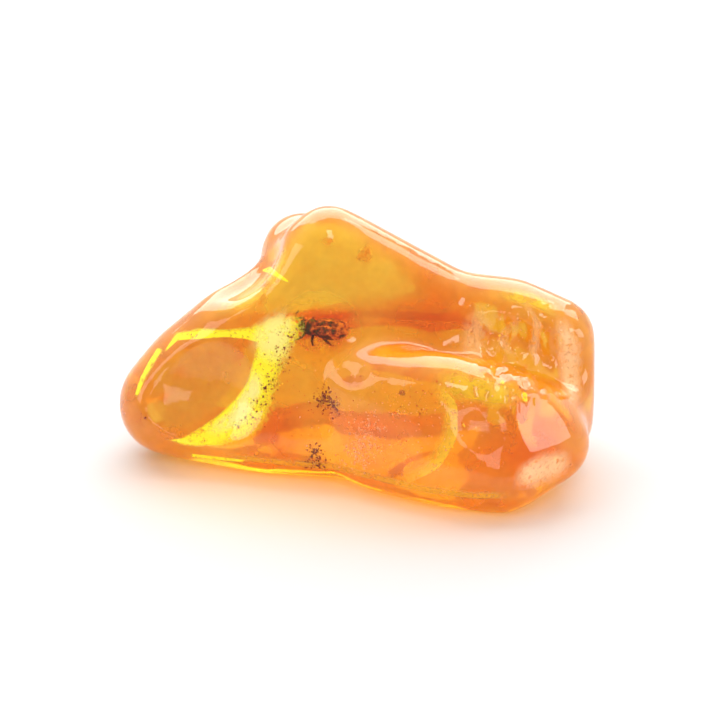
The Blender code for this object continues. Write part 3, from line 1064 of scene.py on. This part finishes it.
# %% Dust trails
DUST = {  # finish, spread, count, depths, sizes and line
    "crescent_dust": (
        bark_brown, 0.45, 230, (0.3, 0.45), (0.05, 0.12),
        ((-5.6, 2.6), (-6.6, 1.2), (-7.0, -0.2), (-7.8, -1.6), (-8.4, -3.0), (-9.4, -4.6), (-11.5, -6.2)),
    ),
    "heart_dust": (
        bark_brown, 0.42, 130, (0.3, 0.6), (0.07, 0.15),
        ((-3.4, -2.8), (-2.9, -3.6), (-2.3, -4.6)),
    ),
    "foot_dust": (
        bark_brown, 0.45, 130, (0.3, 0.6), (0.06, 0.14),
        ((-4.4, -7.8), (-3.9, -8.6), (-4.0, -9.6), (-3.2, -8.8)),
    ),
    "toe_specks": (bark_brown, 0.2, 10, (0.5, 0.8), (0.05, 0.1), ((-19.4, -5.0), (-19.7, -5.4))),
    "wide_dust": (
        dust_brown, 2.6, 240, (0.3, 0.6), (0.03, 0.08),
        ((-14.0, 3.0), (-6.0, -4.0), (4.0, -4.5), (14.0, -3.0), (17.0, 3.0)),
    ),
}
for name, values in DUST.items():
    scatter(name, *values)

# %% [markdown]
# ## Flakes, mould and bubbles
# Pressure splits amber into tiny flakes that flash pale where the light meets them flat; here the flash
# is painted, as a pale colour and a glow on every flake. They crowd in one crazed patch low in the
# middle and stray over the front. Mould, peach coloured now, grew round the beetle, and gas hangs at
# its head as a grey cloud of bubbles. All are the same grain, smaller and paler.

# %% Flakes, mould and bubbles
flake = crumb_finish("crazed_flake", "F6B078", "FFE2C0", grain_mm=0.15, glow=0.15, roughness=0.4)
gas = crumb_finish("gas_bubbles", "9C8A8C", "D8C8C4", grain_mm=0.1, glow=0.05, roughness=0.3)
mould = crumb_finish("peach_mould", "D8703C", "F8B080", grain_mm=0.15, glow=0.15)
SWARMS = {  # finish, spread, count, depths, sizes and line
    "crazed_flakes": (flake, 0.85, 420, (0.2, 0.5), (0.04, 0.12), ((0.6, -6.0), (0.2, -7.6), (-0.6, -9.6))),
    "stray_flakes": (
        flake, 1.8, 420, (0.2, 0.5), (0.03, 0.09),
        ((-4.0, -5.0), (2.0, -4.0), (8.0, -6.0), (12.0, 0.0), (14.0, 3.0)),
    ),
    "head_bubbles": (gas, 0.28, 140, (0.9, 1.6), (0.02, 0.05), ((-5.6, 3.0), (-5.5, 2.0))),
    "beetle_mould": (
        mould, 0.2, 160, (2.0, 3.2), (0.04, 0.1),
        (
            (-5.6, 3.2), (-4.2, 4.3), (-2.4, 4.4), (-1.0, 3.6),
            (-0.9, 2.2), (-2.4, 1.2), (-4.6, 1.0), (-5.6, 1.8),
        ),
    ),
}
for name, values in SWARMS.items():
    scatter(name, *values)

# %% [markdown]
# ## Spangles
# Round flat cracks, which spring up about a bubble when amber is warmed, are sought after as sun
# spangles. A few small ones sit along the ridge, in the arc and in the folds, and their lemon flash is
# painted: lemon crumbs that glow stand for the lamp light that a spangle throws back.

# %% Spangles
spangle = crumb_finish("sun_spangle_painted_glint", "FFC818", "FFF430", grain_mm=0.15, glow=0.5, roughness=0.3)
SPANGLES = (  # across, up, spread and count
    (9.1, -5.6, 0.1, 3),
    (8.0, -7.7, 0.12, 3),
    (12.8, -2.0, 0.1, 3),
    (14.4, -3.2, 0.15, 4),
    (-7.3, -1.8, 0.2, 5),
    (12.4, 1.8, 0.3, 4),
)
for index, (across, up, spread, count) in enumerate(SPANGLES):
    trail = ((across, up), (across + 0.2, up - 0.2))
    scatter(
        f"spangles_{index + 1}", spangle, spread, count, depths=(0.6, 0.9), sizes=(0.1, 0.2), trail=trail
    )
bpy.data.objects.remove(grain)

# %% [markdown]
# ## The nugget goes on
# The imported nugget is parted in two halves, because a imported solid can't have a sealed pocket in it.
# The real one is whole, so one clear piece stands for both. It comes last, because the ray that places
# things under the skin needed it in millimetres.

# %% Nugget
finish_piece(nugget, "honey_amber", amber, "amber_front", "amber_back")

# %% [markdown]
# ## Floor and light
# A sheet of paper in a white tent. The tent is brightest behind the nugget, because amber shows its
# colours when light comes through it, and dimmer on the viewer's side, where the gloss would wash them
# out. The paper is a light grey that so much light turns white, with room for a warm pool on it.

# %% Floor
PAPER = 0.53
PAPER_SIDE = 2.0
FLOOR_GAP = 0.02 * MM  # keeps the paper clear of the base

deselect()
bpy.ops.mesh.primitive_plane_add(size=PAPER_SIDE, location=(0, 0, -FLOOR_GAP))
floor = bpy.context.object
floor.name = "floor"
paper, tree, shader = new_material("white_paper", Base_Color=(PAPER, PAPER, PAPER, 1), Roughness=0.9)
floor.data.materials.append(paper)
print("floor:", floor.dimensions[0], "m square")

# %% [markdown]
# ## Tent
# The world's colour comes from the direction alone: white, weak towards the front and stronger
# towards the back, with a soft change between them.

# %% Tent
TENT_FRONT = 0.45
TENT_BACK = 1.08

world = bpy.data.worlds.new("tent")
world.use_nodes = True
tree = world.node_tree
towards = add_node(tree, "TexCoord", {}).outputs["Generated"]
depthwise = add_node(tree, "SeparateXYZ", {}, ("Vector", towards)).outputs["Y"]
settings = {"From Min": -0.7, "From Max": 0.3, "To Min": TENT_FRONT, "To Max": TENT_BACK}
settings["interpolation_type"] = "SMOOTHSTEP"
glow = add_node(tree, "MapRange", settings, ("Value", depthwise))
tree.nodes["Background"].inputs["Color"].default_value = (1, 1, 1, 1)
tree.links.new(glow.outputs[0], tree.nodes["Background"].inputs["Strength"])
bpy.context.scene.world = world
print("tent from", TENT_FRONT, "to", TENT_BACK)

# %% [markdown]
# ## Soft boxes
# The largest box is the key: it hangs high behind the nugget, glows through the amber and leaves only a
# soft sheen on top. Smaller ones stand round it, each where the gloss of one face throws it to the
# viewer as a clear-cut pale patch.

# %% Soft boxes
BOX_DISTANCE = 0.6
SOFT_BOXES = {  # azimuth and height in degrees, width and height in metres, strength
    "back_key": (-8, 48, 0.90, 0.70, 3.8),
    "left_box": (-114, 24, 0.26, 0.28, 2.2),
    "front_box": (-172, 11, 0.17, 0.10, 2.0),
    "right_box": (113, 14, 0.30, 0.24, 4.0),
    "back_right_box": (62, 43, 0.26, 0.20, 4.0),
    "high_front_box": (174, 50, 0.10, 0.16, 5.0),
}


def add_softbox(name, azimuth, height, width, tall, strength):
    """A soft box that faces the nugget, azimuth degrees from straight behind and height above the floor."""
    data = bpy.data.lights.new(name, "AREA")
    data.shape = "RECTANGLE"
    data.size = width
    data.size_y = tall
    data.energy = strength * math.pi * width * tall
    lamp = add_object(name, data)
    turn, lift = math.radians(azimuth), math.radians(height)
    away = Vector((math.sin(turn) * math.cos(lift), math.cos(turn) * math.cos(lift), math.sin(lift)))
    lamp.location = to_frame(AIM) + away * BOX_DISTANCE
    lamp.rotation_euler = away.to_track_quat("Z", "Y").to_euler()
    print(name, [round(c, 2) for c in lamp.location])


for name, values in SOFT_BOXES.items():
    add_softbox(name, *values)

# %% [markdown]
# ## Glow on the paper
# Amber throws the light that crosses it onto the paper as a warm pool. A path tracer finds that light
# only by chance, so most of the pool comes from a lamp of its own: it hangs inside the nugget, faces
# down, and is linked to the paper alone, so that it neither lights the amber nor is shaded by it.

# %% Glow lamp
POOL_SIZE = (0.040, 0.018)
POOL_STRENGTH = 1.2
POOL_LAMP_AT = (0.5, -4.5, 7.0)

paper_only = bpy.data.collections.new("paper_only")
paper_only.objects.link(floor)
pool = bpy.data.lights.new("amber_pool", "AREA")
pool.shape = "ELLIPSE"
pool.size, pool.size_y = POOL_SIZE
pool.energy = POOL_STRENGTH * math.pi * pool.size * pool.size_y
pool.color = linear("FF9C1C")[:3]
pool_lamp = add_object("amber_pool", pool)
pool_lamp.location = to_frame(POOL_LAMP_AT)
pool_lamp.visible_camera = False
pool_lamp.visible_glossy = False
pool_lamp.visible_transmission = False
pool_lamp.light_linking.receiver_collection = paper_only
pool_lamp.light_linking.blocker_collection = paper_only
print("pool lamp at", [round(c, 3) for c in pool_lamp.location])

# %% [markdown]
# ## Render settings
# Light crosses the skin, the mist and the sheets many times before it leaves, so the path tracer is
# allowed more bounces than usual. The Standard view keeps white paper white.

# %% Bounces and view
scene = bpy.context.scene
scene.view_settings.view_transform = "Standard"
scene.cycles.max_bounces = 28
scene.cycles.transmission_bounces = 24
scene.cycles.glossy_bounces = 16
scene.cycles.diffuse_bounces = 12
scene.cycles.transparent_max_bounces = 32
scene.cycles.use_denoising = True
